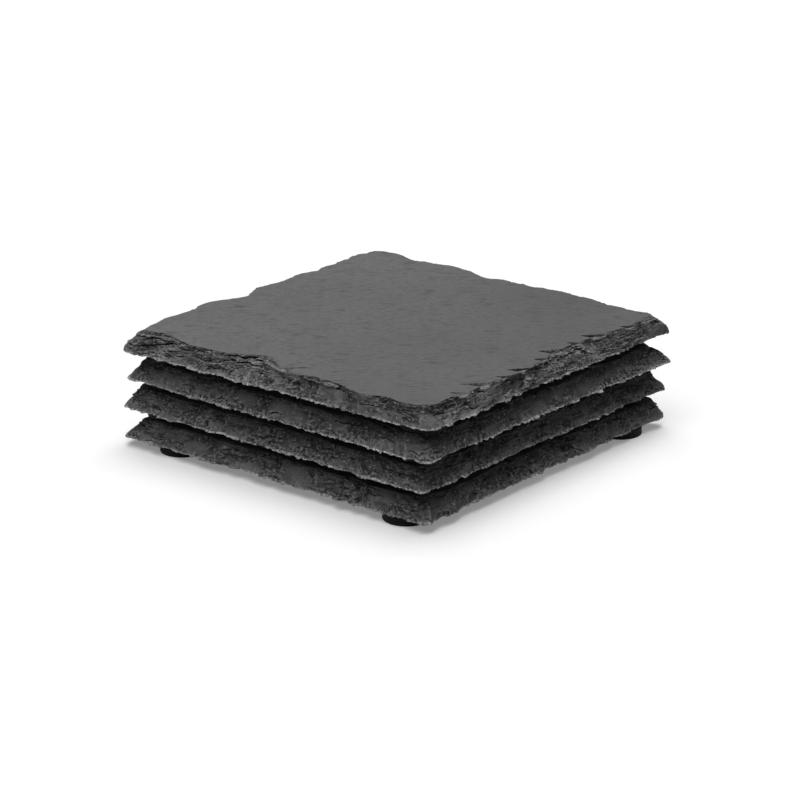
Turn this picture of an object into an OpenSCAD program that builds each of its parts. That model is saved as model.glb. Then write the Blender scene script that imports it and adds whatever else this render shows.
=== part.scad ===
// Stack of four square slate drink coasters, each on four stick-on rubber feet.
// Millimetres, +Z up, origin on the floor under the middle of the stack.
// The front side of every slate faces -Y and its right side faces +X.

/* [Slate] */
// Length of a slate's side, measured at its widest, just above the underside
slate_side = 100; // [90:1:110]
// Thickness of a slate
slate_thickness = 5; // [4:0.25:7]
// Mean width of the dressed bevel, from the widest outline in to the top face
bevel_run = 3.6; // [2.4:0.1:4.4]
// How far the underside is crushed back from the widest outline
under_lip = 0.5; // [0.2:0.1:0.8]
// Depth of the small nibbles along the lower edge
nibble_depth = 0.8; // [0.2:0.1:1.2]
// Usual radius of a slate's broken corners, seen from above
corner_radius = 4; // [2:0.25:5]

/* [Feet] */
// Diameter of a rubber foot
foot_d = 11.6; // [9:0.2:13]
// Thickness of the rubber of a foot
foot_thickness = 2.3; // [1.5:0.1:3.5]
// How far the foot stands out all round past the adhesive film that holds it
film_margin = 0.3; // [0.1:0.05:1]
// Thickness of the adhesive film
film_thickness = 0.2; // [0.1:0.05:0.4]
// Distance from the slate's side in to the middle of a foot
foot_inset = 10; // [9:0.25:14]
// How far feet that were stuck on by hand stray from their even places
foot_stray = 1; // [0:0.1:1.5]

/* [Stack] */
// Sideways shift of the bottom coaster, along X
bottom_shift_x = -0.4; // [-1:0.1:1]
// Sideways shift of the bottom coaster, along Y
bottom_shift_y = -0.4; // [-1:0.1:1]
// Turn of the bottom coaster, in degrees
bottom_turn = 0; // [-1:0.1:1]
// Sideways shift of the second coaster, along X
second_shift_x = -0.6; // [-1:0.1:1]
// Sideways shift of the second coaster, along Y
second_shift_y = 0.2; // [-1:0.1:1]
// Turn of the second coaster, in degrees
second_turn = -0.4; // [-1:0.1:1]
// Sideways shift of the third coaster, along X
third_shift_x = 0.4; // [-1:0.1:1]
// Sideways shift of the third coaster, along Y
third_shift_y = 0.2; // [-1:0.1:1]
// Turn of the third coaster, in degrees
third_turn = -0.6; // [-1:0.1:1]
// Sideways shift of the top coaster, along X
top_shift_x = 0; // [-1:0.1:1]
// Sideways shift of the top coaster, along Y
top_shift_y = 0.3; // [-1:0.1:1]
// Turn of the top coaster, in degrees
top_turn = 0.5; // [-1:0.1:1]

/* [Hidden] */

// Height of a foot with its film, and that one coaster adds to the stack
foot_height = foot_thickness + film_thickness;
pitch = foot_height + slate_thickness;
film_d = foot_d - 2 * film_margin;

// Where each coaster lies: shift along X, shift along Y, turn and level in the stack
BOTTOM = [bottom_shift_x, bottom_shift_y, bottom_turn, 0];
SECOND = [second_shift_x, second_shift_y, second_turn, 1];
THIRD = [third_shift_x, third_shift_y, third_turn, 2];
TOP = [top_shift_x, top_shift_y, top_turn, 3];

// Width of the bevel along each side, as shares of bevel_run, at even steps. A slate has its
// front, right, back and left side, each read counter-clockwise seen from above.
bottom_bevel_shares = [
    [1.3, 1.1, 1.2, 1.0, 1.1, 1.2, 0.9, 1.0, 1.3, 1.4, 1.2, 1.0, 0.8, 0.9, 1.1, 1.2, 1.0, 0.9, 1.0, 1.1],
    [1.2, 1.0, 0.9, 0.8, 0.9, 1.1, 1.2, 1.0, 0.9, 1.1, 1.3, 1.1, 0.9, 0.8, 0.8, 1.0, 1.1, 0.9, 0.7, 0.9],
    [0.8, 1.0, 1.2, 1.1, 0.9, 1.0, 1.3, 1.5, 1.2, 0.9, 0.8, 1.0, 1.1, 0.9, 0.7, 0.9, 1.2, 1.1, 1.0, 1.2],
    [1.2, 1.0, 0.8, 0.9, 1.2, 1.4, 1.1, 0.9, 0.8, 1.0, 1.0, 1.2, 1.5, 1.2, 1.0, 0.9, 0.8, 1.0, 1.1, 1.3]
];
second_bevel_shares = [
    [1.2, 1.2, 1.0, 0.9, 1.1, 1.0, 0.8, 1.0, 1.2, 1.0, 0.9, 1.1, 1.3, 1.2, 0.9, 0.8, 1.0, 1.2, 1.1, 1.0],
    [1.0, 1.1, 0.9, 1.0, 1.2, 1.3, 1.0, 0.8, 0.9, 1.0, 1.2, 1.0, 0.8, 0.9, 1.1, 1.0, 1.3, 1.2, 0.9, 0.8],
    [0.9, 0.8, 1.0, 1.2, 1.4, 1.1, 0.9, 1.0, 1.0, 1.2, 1.3, 1.0, 0.8, 0.7, 0.9, 1.1, 1.2, 1.0, 0.9, 1.1],
    [1.1, 1.3, 1.1, 0.9, 0.8, 1.0, 1.1, 1.3, 1.0, 0.8, 0.9, 1.2, 1.1, 0.9, 1.0, 1.3, 1.4, 1.1, 1.0, 1.2]
];
third_bevel_shares = [
    [1.3, 1.3, 1.1, 1.0, 1.2, 1.3, 1.1, 0.9, 1.0, 1.2, 1.1, 0.9, 1.0, 1.1, 1.2, 1.3, 1.4, 1.4, 1.3, 1.2],
    [1.2, 1.0, 0.9, 1.1, 1.0, 0.8, 0.9, 1.2, 1.1, 1.0, 0.8, 0.9, 1.0, 1.2, 1.4, 1.1, 0.9, 1.0, 1.2, 1.3],
    [1.3, 1.1, 0.9, 0.8, 1.0, 1.1, 0.9, 1.2, 1.4, 1.2, 1.0, 0.9, 0.8, 1.0, 1.1, 1.3, 1.1, 0.9, 0.8, 1.0],
    [1.0, 0.9, 1.1, 1.2, 1.0, 0.8, 0.7, 0.9, 1.1, 1.4, 1.3, 1.0, 0.9, 1.0, 1.2, 1.1, 0.9, 1.1, 1.3, 1.3]
];
top_bevel_shares = [
    [1.2, 1.6, 1.5, 1.1, 1.1, 1.1, 1.2, 1.9, 2.2, 1.5, 1.1, 0.9, 1.0, 0.9, 0.9, 0.5, 0.3, 0.9, 0.7, 0.6],
    [0.8, 1.0, 0.8, 0.8, 0.9, 0.9, 0.8, 0.4, 0.6, 0.9, 1.2, 1.4, 1.4, 1.4, 1.2, 1.0, 0.8, 0.7, 0.7, 0.9],
    [1.3, 1.4, 1.3, 1.3, 0.9, 0.9, 0.8, 0.9, 1.2, 0.9, 0.9, 1.5, 1.0, 0.7, 0.5, 0.7, 0.9, 1.0, 0.4, 0.6],
    [1.3, 0.9, 1.1, 1.2, 1.1, 1.4, 0.8, 1.0, 1.1, 0.8, 1.0, 1.6, 1.3, 0.6, 0.5, 0.9, 0.9, 0.7, 1.1, 1.2]
];

// How far each corner is broken round, as shares of corner_radius: low on the slate and at
// its top face. The corners are counted like the feet.
bottom_corner_shares = [[1.6, 1.5], [0.9, 1.0], [0.4, 0.5], [1.0, 0.8]];
second_corner_shares = [[1.2, 0.6], [0.8, 1.0], [0.6, 0.7], [1.2, 0.8]];
third_corner_shares = [[1.6, 0.4], [1.0, 1.2], [0.3, 0.5], [1.0, 0.7]];
top_corner_shares = [[1.2, 0.2], [1.5, 1.7], [0.6, 0.5], [0.9, 0.6]];

// Seeds of the nibbles and ledges, one to a slate
bottom_seed = 11;
second_seed = 23;
third_seed = 37;
top_seed = 41;

// How far each foot strays along X and Y, as shares of foot_stray
bottom_stray_shares = [[6.3, -1.8], [-1.3, -2.6], [3.1, -2.4], [0.5, 0.5]];
second_stray_shares = [[0.6, -0.4], [-0.7, 0.5], [0.4, 0.3], [-0.3, -0.5]];
third_stray_shares = [[-0.3, 0.6], [0.5, 0.4], [-0.6, -0.2], [0.4, -0.5]];
top_stray_shares = [[0.4, 0.5], [0.2, -0.4], [-0.5, 0.3], [0.3, 0.6]];

// Levels of a slate's dressed side, from the underside up: each one's height as a share of
// the thickness, its place on the bevel as a share of the bevel's width there, and how far
// chips move it either way as a share of the same width. A level that rises little over a
// wide step is a ledge where a layer of the slate broke off.
level_shares = [
    [0, 0, 0],
    [0.1, 0, 0],
    [0.32, 0.26, 0.1],
    [0.4, 0.5, 0.12],
    [0.7, 0.66, 0.1],
    [0.78, 0.88, 0.08],
    [1, 1, 0.04]
];
level_count = len(level_shares);

corner_count = 4;
table_count = len(top_bevel_shares[0]);
// Points along one side of a ring: two to each share of the tables
side_count = 2 * table_count;
ring_count = corner_count * side_count;

half_side = slate_side / 2;
// Facets of the round feet and films
$fn = 64;

// Bevel width at a place along a side, between the shares of its table
function bevel_at(shares, along) = bevel_run * lookup(
    along * table_count - 0.5, [for (i = [0 : table_count - 1]) [i, shares[i]]]);

// How far the underside lies back from the widest outline, and other levels don't
function lip_at(level) = level == 0 ? under_lip : 0;

// How far in from the widest outline a level lies at a point of a side
function inset_at(shares, level, along, chip, nibble) =
    let (row = level_shares[level])
    lip_at(level)
        + nibble_depth * nibble * (1 - row[1])
        + bevel_at(shares, along) * (row[1] + row[2] * chip);

// How far from the middle a level's side would run to meet a side with this share of bevel
function reach_at(share, level) =
    half_side - lip_at(level) - bevel_run * share * level_shares[level][1];

// Radius of a broken corner at a level
function radius_at(corner_shares, level, corner) =
    let (pair = corner_shares[corner % corner_count])
    corner_radius * (pair[0] + (pair[1] - pair[0]) * level_shares[level][1]);

// How far a round corner of this radius draws the side back, this near to its end
function corner_back(to_end, radius) = to_end >= radius ? 0
    : radius - sqrt(radius * radius - (radius - to_end) * (radius - to_end));

// How far short of an unbroken corner a side ends, half way round a corner of this radius
function corner_short(radius) = radius * (1 - cos(180 / corner_count));

// Point k of the ring at one level, with the sides turned into place one by one
function ring_point(bevel_shares, corner_shares, level, k, chips, nibbles) =
    let (
        side = floor(k / side_count),
        along = (k % side_count + 0.5) / side_count,
        before = bevel_shares[(side + corner_count - 1) % corner_count],
        after = bevel_shares[(side + 1) % corner_count],
        start_radius = radius_at(corner_shares, level, side),
        end_radius = radius_at(corner_shares, level, side + 1),
        start_reach = reach_at(before[table_count - 1], level),
        end_reach = reach_at(after[0], level),
        start_x = corner_short(start_radius) - start_reach,
        end_x = end_reach - corner_short(end_radius),
        x = start_x + along * (end_x - start_x),
        y = inset_at(bevel_shares[side], level, along, chips[k], nibbles[k])
            + corner_back(start_reach + x, start_radius)
            + corner_back(end_reach - x, end_radius)
            - half_side,
        turn = side * 360 / corner_count
    )
    [
        x * cos(turn) - y * sin(turn),
        x * sin(turn) + y * cos(turn),
        slate_thickness * level_shares[level][0]
    ];

// One slate with its underside at z = 0: rings from the underside up to the top face
module slate(bevel_shares, corner_shares, seed) {
    nibbles = rands(0, 1, ring_count, seed);
    chips = [for (level = [0 : level_count - 1]) rands(-1, 1, ring_count, seed + level + 1)];
    points = [
        for (level = [0 : level_count - 1], k = [0 : ring_count - 1])
            ring_point(bevel_shares, corner_shares, level, k, chips[level], nibbles)
    ];
    underside = [[for (k = [0 : ring_count - 1]) k]];
    dressed = [
        for (level = [0 : level_count - 2], k = [0 : ring_count - 1])
            let (
                here = level * ring_count + k,
                next = level * ring_count + (k + 1) % ring_count
            )
            each [
                [here, here + ring_count, next],
                [next, here + ring_count, next + ring_count]
            ]
    ];
    top_face = [[for (k = [ring_count - 1 : -1 : 0]) (level_count - 1) * ring_count + k]];
    polyhedron(points = points, faces = concat(underside, dressed, top_face));
}

// Sets a coaster's piece down at its place in the stack
module placed(place) {
    translate([place[0], place[1], place[3] * pitch])
        rotate([0, 0, place[2]])
            children();
}

// Middle of foot number n of a coaster, counted from 1 at the front left corner
function foot_place(stray_shares, n) =
    let (
        even = half_side - foot_inset,
        side_x = n == 2 || n == 3 ? 1 : -1,
        side_y = n == 3 || n == 4 ? 1 : -1,
        stray = foot_stray * stray_shares[n - 1]
    )
    [side_x * even + stray[0], side_y * even + stray[1], 0];

module slate_of(place, bevel_shares, corner_shares, seed) {
    color("dimgray")
        placed(place)
            translate([0, 0, foot_height])
                slate(bevel_shares, corner_shares, seed);
}

module foot_of(place, stray_shares, n) {
    color([0.04, 0.04, 0.04])
        placed(place)
            translate(foot_place(stray_shares, n))
                cylinder(d = foot_d, h = foot_thickness);
}

module film_of(place, stray_shares, n) {
    color("lightyellow")
        placed(place)
            translate(foot_place(stray_shares, n) + [0, 0, foot_thickness])
                cylinder(d = film_d, h = film_thickness);
}

module bottom_slate() { slate_of(BOTTOM, bottom_bevel_shares, bottom_corner_shares, bottom_seed); }
module bottom_foot(n) { foot_of(BOTTOM, bottom_stray_shares, n); }
module bottom_film(n) { film_of(BOTTOM, bottom_stray_shares, n); }

module second_slate() { slate_of(SECOND, second_bevel_shares, second_corner_shares, second_seed); }
module second_foot(n) { foot_of(SECOND, second_stray_shares, n); }
module second_film(n) { film_of(SECOND, second_stray_shares, n); }

module third_slate() { slate_of(THIRD, third_bevel_shares, third_corner_shares, third_seed); }
module third_foot(n) { foot_of(THIRD, third_stray_shares, n); }
module third_film(n) { film_of(THIRD, third_stray_shares, n); }

module top_slate() { slate_of(TOP, top_bevel_shares, top_corner_shares, top_seed); }
module top_foot(n) { foot_of(TOP, top_stray_shares, n); }
module top_film(n) { film_of(TOP, top_stray_shares, n); }

bottom_slate();
bottom_foot(1);  // bottom_foot_1
bottom_foot(2);  // bottom_foot_2
bottom_foot(3);  // bottom_foot_3
bottom_foot(4);  // bottom_foot_4
bottom_film(1);  // bottom_film_1
bottom_film(2);  // bottom_film_2
bottom_film(3);  // bottom_film_3
bottom_film(4);  // bottom_film_4
second_slate();
second_foot(1);  // second_foot_1
second_foot(2);  // second_foot_2
second_foot(3);  // second_foot_3
second_foot(4);  // second_foot_4
second_film(1);  // second_film_1
second_film(2);  // second_film_2
second_film(3);  // second_film_3
second_film(4);  // second_film_4
third_slate();
third_foot(1);  // third_foot_1
third_foot(2);  // third_foot_2
third_foot(3);  // third_foot_3
third_foot(4);  // third_foot_4
third_film(1);  // third_film_1
third_film(2);  // third_film_2
third_film(3);  // third_film_3
third_film(4);  // third_film_4
top_slate();
top_foot(1);  // top_foot_1
top_foot(2);  // top_foot_2
top_foot(3);  // top_foot_3
top_foot(4);  // top_foot_4
top_film(1);  // top_film_1
top_film(2);  // top_film_2
top_film(3);  // top_film_3
top_film(4);  // top_film_4
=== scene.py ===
"""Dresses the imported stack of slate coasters: chipped slates, rubber feet, floor, light and camera."""

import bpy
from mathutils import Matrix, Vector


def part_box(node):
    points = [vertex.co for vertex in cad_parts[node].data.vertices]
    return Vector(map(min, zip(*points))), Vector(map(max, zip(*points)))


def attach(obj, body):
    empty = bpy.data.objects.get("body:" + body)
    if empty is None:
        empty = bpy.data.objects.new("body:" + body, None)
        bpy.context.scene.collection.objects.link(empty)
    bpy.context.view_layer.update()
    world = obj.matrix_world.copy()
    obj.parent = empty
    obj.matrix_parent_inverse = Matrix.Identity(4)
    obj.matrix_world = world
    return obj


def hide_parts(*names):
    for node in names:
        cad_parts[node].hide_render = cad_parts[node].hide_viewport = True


bl_info = {
    "name": "Slate Coaster Stack",
    "version": (1, 0, 0),
    "blender": (4, 5, 0),
    "location": "3D View > Sidebar > Coasters",
    "description": "Chipped slate coasters on rubber feet, built around their packed frame",
    "category": "Add Mesh",
}

import math

import bpy
import numpy as np
from bpy.props import (
    FloatProperty,
    FloatVectorProperty,
    IntProperty,
    PointerProperty,
)
from mathutils import Vector
from mathutils.geometry import delaunay_2d_cdt

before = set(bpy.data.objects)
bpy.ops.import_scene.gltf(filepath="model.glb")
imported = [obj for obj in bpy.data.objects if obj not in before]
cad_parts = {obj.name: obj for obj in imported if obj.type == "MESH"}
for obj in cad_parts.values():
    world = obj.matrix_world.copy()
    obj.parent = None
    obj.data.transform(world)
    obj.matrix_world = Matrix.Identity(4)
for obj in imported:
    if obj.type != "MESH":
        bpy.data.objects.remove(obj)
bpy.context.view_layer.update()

MM = 0.001
TIERS = ("bottom", "second", "third", "top")
FOOT_NUMBERS = (1, 2, 3, 4)
WHITE = (1, 1, 1, 1)

# Length given to each side of a slate in places along its edge, in millimetres
SIDE_MM = 100.0
SLATE_SEEDS = {"bottom": 5, "second": 17, "third": 29, "top": 43}
# Which way the slates' grain runs, and the way along which painted light makes their faces
# slowly lighter towards one side
GRAIN_TURN = math.radians(39)
GRAIN = np.array((math.cos(GRAIN_TURN), math.sin(GRAIN_TURN)))
PAINTED_LIGHT_TURN = math.radians(14.5)
# Decimals, in metres, that tell the points of a solid and its levels apart
POINT_DIGITS = 7
LEVEL_DIGITS = 5
LEVEL_GAP = 0.01 * MM
# Turn that brings a slate's front left corner, where its rings start, to angle 0
FIRST_CORNER = math.radians(135)

# Material slots of a slate's mesh
FACE_SLOT = 0
SIDE_SLOT = 1
# The points inside a face stray by a share of their step, keep clear of its outline by another,
# and are one point when they are this close, in metres. Only triangles inside it are made.
POINT_STRAY = 0.25
POINT_CLEARANCE = 0.6
SAME_POINT = 1e-7
INSIDE_ONLY = 1
# Degrees between the points of a foot's rounded edge, and the rings on its sole, as shares of
# its radius
EDGE_STEP = 15
SOLE_RINGS = (0.35, 0.7)

# Half the width of the floor, the distances over which its glow rises to full white, and its
# grey as the lamps and as the camera see it
FLOOR_HALF = 6.0
FLOOR_GLOW_REACH = (0.3, 1.2)
FLOOR_LIT = 0.15
FLOOR_SEEN = 0.82
# Place and width of each lamp, and the place that both point at, in metres
OVERHEAD_LAMP = ((-0.5, 0.8, 2.8), 2.2)
FRONT_LAMP = ((0.4, -1.45, 2.75), 2.3)
LAMP_AIM = (0, 0, 0.015)
# Width of the camera's sensor in millimetres, and what it sees, near and far, in metres
SENSOR_WIDTH = 36.0
CAMERA_CLIP = (0.01, 20.0)


class SlateSettings(bpy.types.PropertyGroup):
    """Sizes and colours of the slates."""

    sample_step: FloatProperty(
        name="Sample step",
        description="Spacing of the mesh points along a slate's dressed edge",
        default=0.27 * MM,
        min=0.2 * MM,
        max=2 * MM,
        subtype="DISTANCE",
    )
    side_rows: IntProperty(
        name="Side rows",
        description="Rows of points from a slate's rim up to its top face",
        default=46,
        min=12,
        max=64,
    )
    face_step: FloatProperty(
        name="Face step",
        description="Spacing of the mesh points inside the top face",
        default=2.4 * MM,
        min=1 * MM,
        max=6 * MM,
        subtype="DISTANCE",
    )
    face_colour: FloatVectorProperty(
        name="Face colour",
        description="Mean colour of the smooth split faces",
        default=(0.143, 0.143, 0.144),
        subtype="COLOR",
        min=0,
        max=1,
    )
    side_colour: FloatVectorProperty(
        name="Side colour",
        description="Mean colour of the rough dressed sides",
        default=(0.106, 0.106, 0.107),
        subtype="COLOR",
        min=0,
        max=1,
    )
    crushed_colour: FloatVectorProperty(
        name="Crushed colour",
        description="Colour of crushed slate on ridges and along the rim",
        default=(0.3, 0.3, 0.3),
        subtype="COLOR",
        min=0,
        max=1,
    )


class FootSettings(bpy.types.PropertyGroup):
    """Sizes and colours of the rubber feet and their adhesive films."""

    edge_radius: FloatProperty(
        name="Edge radius",
        description="Radius of the rounded edges of a rubber foot",
        default=0.35 * MM,
        min=0.1 * MM,
        max=1 * MM,
        subtype="DISTANCE",
    )
    bulge: FloatProperty(
        name="Bulge",
        description="How far the waist of a foot is drawn in between its edges",
        default=0.12 * MM,
        min=0,
        max=0.5 * MM,
        subtype="DISTANCE",
    )
    segments: IntProperty(
        name="Segments",
        description="Points round a foot",
        default=96,
        min=24,
        max=192,
    )
    rubber_colour: FloatVectorProperty(
        name="Rubber colour",
        description="Colour of the rubber",
        default=(0.006, 0.006, 0.0062),
        subtype="COLOR",
        min=0,
        max=1,
    )
    film_colour: FloatVectorProperty(
        name="Film colour",
        description="Colour of the adhesive film",
        default=(0.03, 0.03, 0.028),
        subtype="COLOR",
        min=0,
        max=1,
    )


class StageSettings(bpy.types.PropertyGroup):
    """The floor, the light and the camera."""

    azimuth: FloatProperty(
        name="Azimuth",
        description="Direction that the camera looks along, from +Y towards -X",
        default=math.radians(39.16),
        subtype="ANGLE",
    )
    elevation: FloatProperty(
        name="Elevation",
        description="Height of the camera above the horizon",
        default=math.radians(18.96),
        subtype="ANGLE",
    )
    distance: FloatProperty(
        name="Distance",
        description="Distance from the camera to the point that it aims at",
        default=691.6 * MM,
        subtype="DISTANCE",
    )
    aim: FloatVectorProperty(
        name="Aim",
        description="Point that the camera aims at",
        default=(1.9 * MM, -0.8 * MM, 10.0 * MM),
        subtype="XYZ",
    )
    lens: FloatProperty(
        name="Lens",
        description="Focal length in millimetres on a 36 mm sensor",
        default=123.7,
    )
    sky_strength: FloatProperty(
        name="Sky strength",
        description="Strength of the even light from all round",
        default=0.1,
    )
    overhead_power: FloatProperty(
        name="Overhead power",
        description="Power of the soft lamp above and behind the stack",
        default=56,
        subtype="POWER",
    )
    front_power: FloatProperty(
        name="Front power",
        description="Power of the soft lamp high in front of the stack",
        default=48,
        subtype="POWER",
    )
    floor_glow: FloatProperty(
        name="Floor glow",
        description="Share of the floor's own white that its shadow leaves",
        default=0.22,
    )


class StackSettings(bpy.types.PropertyGroup):
    """All settings of the stack."""

    slate: PointerProperty(type=SlateSettings)
    foot: PointerProperty(type=FootSettings)
    stage: PointerProperty(type=StageSettings)


# Shape of the dressed sides

# All tables here are in millimetres. A place is counted round the slate from its front left
# corner, counter-clockwise seen from above, and a height from the underside.

# Open slits between layers: place, height, half length, rise along the side, depth and half
# thickness
SLITS = {
    "top": (
        (23.0, 4.0, 4.4, -0.05, 1.4, 0.16),
        (38.0, 4.3, 6.2, -0.04, 2.4, 0.24),
        (38.5, 3.4, 6.6, -0.02, 1.7, 0.2),
        (47.0, 2.2, 3.0, -0.10, 0.9, 0.12),
        (6.5, 3.9, 6.0, -0.03, 1.6, 0.2),
        (9.0, 2.8, 7.5, 0.22, 1.4, 0.18),
        (20.0, 3.6, 4.2, 0.05, 1.3, 0.2),
        (8.0, 1.0, 4.0, 0.12, 0.8, 0.13),
        (18.5, 1.9, 2.4, 0.05, 0.9, 0.14),
        (14.0, 1.7, 3.0, -0.08, 1.0, 0.15),
        (25.0, 2.5, 3.5, 0.04, 1.1, 0.16),
        (30.0, 1.5, 2.6, -0.1, 0.9, 0.14),
        (57.0, 3.3, 3.0, -0.06, 0.8, 0.11),
        (74.0, 3.6, 4.0, -0.05, 0.9, 0.12),
        (84.0, 2.6, 3.4, 0.04, 0.9, 0.13),
        (95.0, 3.2, 3.5, 0.06, 1.2, 0.15),
        (104.0, 2.4, 3.0, -0.08, 0.8, 0.13),
        (118.0, 3.7, 4.5, 0.02, 1.2, 0.15),
        (131.0, 3.5, 5.0, 0.02, 1.3, 0.16),
        (146.0, 3.3, 5.0, 0.03, 1.4, 0.17),
        (162.0, 3.6, 6.0, 0.02, 1.5, 0.18),
        (199.0, 3.2, 5.0, 0.02, 0.9, 0.2),
        (1.0, 1.9, 5.0, 0.03, 0.9, 0.18),
    ),
    "third": (
        (75.0, 3.3, 3.6, -0.03, 1.1, 0.16),
        (88.0, 2.6, 5.0, -0.02, 1.2, 0.15),
        (98.0, 1.6, 3.0, 0.0, 0.7, 0.12),
        (52.0, 1.7, 2.6, 0.06, 1.1, 0.15),
        (36.0, 2.8, 3.0, 0.04, 0.8, 0.12),
        (20.0, 2.1, 3.6, -0.05, 0.9, 0.13),
        (65.0, 2.5, 3.0, 0.05, 0.8, 0.12),
        (1.0, 2.7, 5.0, -0.03, 0.8, 0.25),
        (200.0, 3.6, 6.0, 0.02, 1.0, 0.3),
        (200.5, 1.7, 4.0, 0.05, 0.9, 0.25),
    ),
    "second": (
        (62.0, 2.4, 3.5, 0.03, 0.9, 0.13),
        (112.0, 3.0, 4.0, 0.02, 1.0, 0.14),
        (29.0, 2.6, 4.0, -0.04, 0.9, 0.13),
        (48.0, 1.9, 2.6, 0.06, 0.8, 0.12),
        (77.0, 3.1, 3.4, -0.05, 0.9, 0.13),
        (92.0, 2.2, 3.0, 0.05, 0.8, 0.13),
        (0.0, 3.4, 5.0, 0.03, 0.9, 0.25),
        (201.0, 2.6, 5.0, 0.03, 1.0, 0.28),
    ),
    "bottom": (
        (50.0, 2.2, 3.0, -0.03, 0.9, 0.13),
        (86.0, 3.0, 4.0, 0.02, 1.0, 0.14),
        (33.0, 2.9, 4.4, -0.04, 1.0, 0.14),
        (71.0, 3.4, 3.4, 0.05, 0.9, 0.13),
        (96.0, 2.0, 3.2, 0.05, 0.9, 0.13),
        (400.0, 2.9, 5.0, 0.03, 0.9, 0.25),
        (200.0, 3.0, 6.0, 0.03, 1.2, 0.3),
    ),
}

# Notches of the top layer that follow the grain to a point: place, depth and half width
SPLINTERS = {
    "top": (
        (4.0, 2.6, 9.0),
        (44.5, 1.7, 7.0),
        (52.0, 4.4, 1.9),
        (113.0, 2.2, 1.4),
        (122.5, 3.8, 2.0),
        (131.0, 2.0, 1.3),
        (139.0, 4.2, 2.4),
        (149.0, 2.4, 1.5),
        (156.5, 4.2, 2.4),
        (166.0, 2.4, 1.5),
        (175.0, 4.8, 2.6),
        (187.0, 2.2, 1.4),
    ),
    "third": ((118.0, 2.4, 1.4), (133.0, 3.0, 1.8), (151.0, 2.0, 1.3), (172.0, 3.4, 1.8)),
    "second": ((109.0, 2.4, 1.4), (127.0, 2.0, 1.2), (146.0, 3.6, 2.0), (185.0, 2.8, 1.5)),
    "bottom": ((115.0, 2.0, 1.2), (136.0, 3.4, 1.8), (154.0, 2.2, 1.3), (171.0, 3.0, 1.6)),
}

# Smooth patches left by one clean blow: place, height, half length, half height
FACETS = {
    "top": ((69.0, 2.8, 4.0, 1.5), (101.0, 1.8, 4.5, 1.5), (45.0, 1.9, 5.0, 1.3)),
    "third": (
        (92.0, 2.4, 13.0, 2.0),
        (8.0, 2.4, 8.0, 1.8),
        (56.0, 2.6, 8.0, 1.5),
        (150.0, 3.2, 18.0, 1.8),
    ),
    "second": ((17.0, 2.5, 9.0, 1.8), (44.0, 3.2, 7.0, 1.4), (160.0, 3.2, 18.0, 1.8)),
    "bottom": ((19.0, 2.4, 10.0, 1.8), (62.0, 2.6, 8.0, 1.7), (180.0, 2.4, 14.0, 2.0)),
}

# Upright ribs between two blows, all of one half width: place, height, half length and how far
# they stand out
RIB_HALF_WIDTH = 0.22
RIBS = {
    "top": (
        (65.8, 2.7, 1.9, 0.35),
        (53.5, 1.5, 1.0, 0.3),
        (34.5, 1.6, 1.2, 0.25),
        (107.0, 2.2, 1.2, 0.3),
    ),
    "third": ((61.0, 1.6, 1.2, 0.25), (79.0, 1.8, 1.2, 0.3), (128.0, 1.7, 1.2, 0.3)),
    "second": ((99.0, 1.8, 1.5, 0.4), (86.0, 1.7, 1.3, 0.3), (139.0, 1.6, 1.2, 0.3)),
    "bottom": ((93.0, 2.0, 1.5, 0.35), (74.0, 1.7, 1.2, 0.3), (120.0, 1.9, 1.3, 0.3)),
}

# How finely broken each slate's sides are, as a share of the roughest
BROKEN = {"top": 1.0, "third": 0.8, "second": 0.95, "bottom": 1.0}

# How the side rises at a place: its place, half length, and the power that its slope follows.
# Under 1 it runs out flat below a steep wall, over 1 it stands steep below a flat shoulder.
PROFILES = {
    "top": ((0.0, 8.0, 1.3), (200.0, 8.0, 2.0)),
    "third": ((0.0, 9.0, 0.75), (200.0, 7.0, 1.5)),
    "second": ((0.0, 8.0, 0.95), (200.0, 7.0, 1.3)),
    "bottom": ((0.0, 8.0, 0.9), (200.0, 8.0, 1.9)),
}
# That power elsewhere, and how far it wanders
SLOPE_POWER = 0.95
SLOPE_WANDER = 0.2

# Scoops where flakes were struck off, large and small: how many, and their ranges of half
# length, half height, depth and height
SCARS = (
    (60, (3, 9), (2.0, 5.0), (0.4, 1.1), (0.5, 4.0)),
    (190, (1.2, 3.6), (0.8, 2.4), (0.2, 0.8), (0.3, 4.4)),
)

# Broken layers on the sides, coarse to fine: length, height, step and how deep their cracks are.
# A crack is whole this near the border of two flakes and gone this far from it, as shares of a
# flake.
FLAKES = ((5.5, 1.5, 0.5, 0.25), (2.4, 0.8, 0.28, 0.12), (1.0, 0.4, 0.12, 0.04))
FLAKE_CRACK = (0.03, 0.16)

# Fine cracks anywhere round a slate: how many on the roughest one, and their ranges of height,
# half length, depth, rise along the side and half thickness
CRACK_COUNT = 70
CRACKS = ((0.9, 4.4), (0.8, 3.6), (0.4, 1.1), (-0.14, 0.14), (0.05, 0.12))

# Upright flutes above the rim, wide and narrow: depth, the share of the side's height that they
# fade over, length and height
FLUTES = ((0.6, 0.7, 2.4, 12), (0.25, 0.45, 0.9, 8))

# Grit where the side is broken, coarse and fine: depth, length and height
GRIT = ((0.06, 0.9, 0.3), (0.05, 0.5, 0.25))

# Thickness of the split layers that a side is stepped by, and how far they are laid below and
# above it, so that a layer that drifts up or down doesn't run out
LAYER_THICKNESS = (0.3, 1.0)
LAYERS_BELOW = 2
LAYERS_ABOVE = 5

# Depths below the top face where the top layer begins and where it is whole
TOP_LAYER = (0.62, 0.5)
# How far a splinter's notch can lean along the side for each millimetre of its depth
SPLINTER_LEAN = 1.3

# Bites out of the rim, small and large: ranges of half length and of depth. The next one lies
# this many half lengths on. Each bite reaches up over a share of the side's height.
RIM_BITES = (((0.45, 1.4), (0.05, 0.55)), ((1.6, 4.0), (0.0, 0.6)))
BITE_SPACING = (1.2, 2.1)
BITE_HEIGHT = 0.16

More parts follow.
